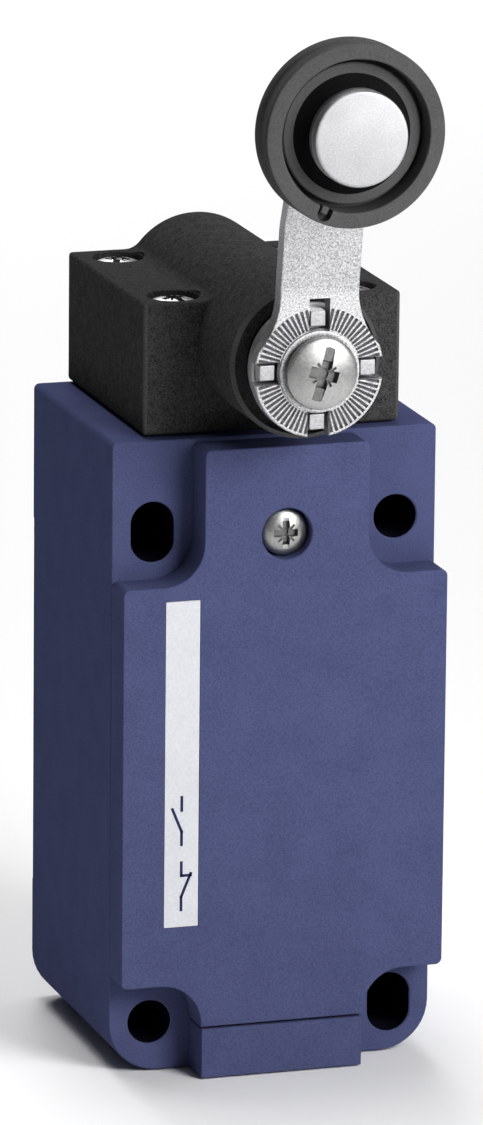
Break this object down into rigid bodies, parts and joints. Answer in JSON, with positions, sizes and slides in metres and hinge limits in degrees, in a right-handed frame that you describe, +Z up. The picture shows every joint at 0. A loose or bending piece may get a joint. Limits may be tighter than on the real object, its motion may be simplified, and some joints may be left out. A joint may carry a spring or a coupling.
{
  "type": "limit switch",
  "caption": "Roller-lever limit switch: a slim moulded housing with a front cover, a rotary head and a side-swinging lever that carries a plastic roller.",
  "frame": {"origin": "midway between the two upper fixing holes, on the back plane that rests on the machine", "axes": "+X to the right seen from the front, +Y into the machine along the fixing holes, +Z up along the body towards the lever"},
  "size_m": [0.04, 0.0638, 0.1287],
  "materials": {
    "housing_blue": "fine-grained satin",
    "head_black": "fine-grained satin",
    "roller_grey": "moulded satin",
    "lever_zinc": "zinc plated, lightly pickled",
    "screw_steel": "zinc plated",
    "spring_steel": "ground",
    "bronze": "sintered",
    "brass": "rolled strip",
    "seal_rubber": "matt",
    "label_white": "printed",
    "block_cream": "moulded",
    "block_grey": "moulded"
  },
  "bodies": {
    "housing": {"housing_body": "housing_blue", "head_housing": "head_black", "head_gasket": "seal_rubber", "head_screw_1": "screw_steel", "head_screw_2": "screw_steel", "head_screw_3": "screw_steel", "head_screw_4": "screw_steel", "shaft_seal": "seal_rubber", "shaft_bush": "bronze", "contact_block_base": "block_cream", "contact_block_cover": "block_grey", "block_screw_1": "screw_steel", "block_screw_2": "screw_steel", "fixed_contact_1": "brass", "fixed_contact_2": "brass", "fixed_contact_3": "brass", "fixed_contact_4": "brass", "terminal_clamp_1": "screw_steel", "terminal_clamp_2": "screw_steel", "terminal_clamp_3": "screw_steel", "terminal_clamp_4": "screw_steel", "terminal_screw_1": "screw_steel", "terminal_screw_2": "screw_steel", "terminal_screw_3": "screw_steel", "terminal_screw_4": "screw_steel", "earth_clamp": "brass", "earth_screw": "screw_steel"},
    "cover": {"front_cover": "housing_blue", "cover_gasket": "seal_rubber", "label_strip": "label_white", "cover_screw": "screw_steel", "screw_retainer": "seal_rubber"},
    "lever": {"lever_arm": "lever_zinc", "drive_hub": "lever_zinc", "drive_shaft": "spring_steel", "shaft_circlip": "spring_steel", "shaft_cam": "spring_steel", "lock_washer": "screw_steel", "lever_screw": "screw_steel", "roller_pin": "lever_zinc", "roller_spacer": "screw_steel"},
    "roller": {"roller": "roller_grey"},
    "plunger": {"head_plunger": "spring_steel", "plunger_spring": "spring_steel"},
    "carrier": {"contact_carrier": "block_grey", "moving_bridge_1": "brass", "moving_bridge_2": "brass", "return_spring": "spring_steel"}
  },
  "joints": [
    {"name": "cover_lift_off", "type": "slide", "parent": "housing", "child": "cover", "axis": [0, -1, 0], "range_m": [0, 0.03]},
    {"name": "lever_swing", "type": "hinge", "parent": "housing", "child": "lever", "pos_m": [0, -0.0492, 0.022], "axis": [0, 1, 0], "range_deg": [-70, 70], "stiffness_Nm_per_rad": 0.12},
    {"name": "roller_spin", "type": "hinge", "parent": "lever", "child": "roller", "pos_m": [0, -0.059, 0.052], "axis": [0, 1, 0], "continuous": true},
    {"name": "plunger_slide", "type": "slide", "parent": "housing", "child": "plunger", "axis": [0, 0, -1], "range_m": [0, 0.003], "stiffness_N_per_m": 1500, "springref_m": -0.002, "deforming": ["plunger_spring"]},
    {"name": "carrier_slide", "type": "slide", "parent": "housing", "child": "carrier", "axis": [0, 0, -1], "range_m": [0, 0.003], "deforming": ["return_spring"]}
  ],
  "couplings": [
    {"joint": "carrier_slide", "follows": "plunger_slide", "ratio": 1}
  ]
}
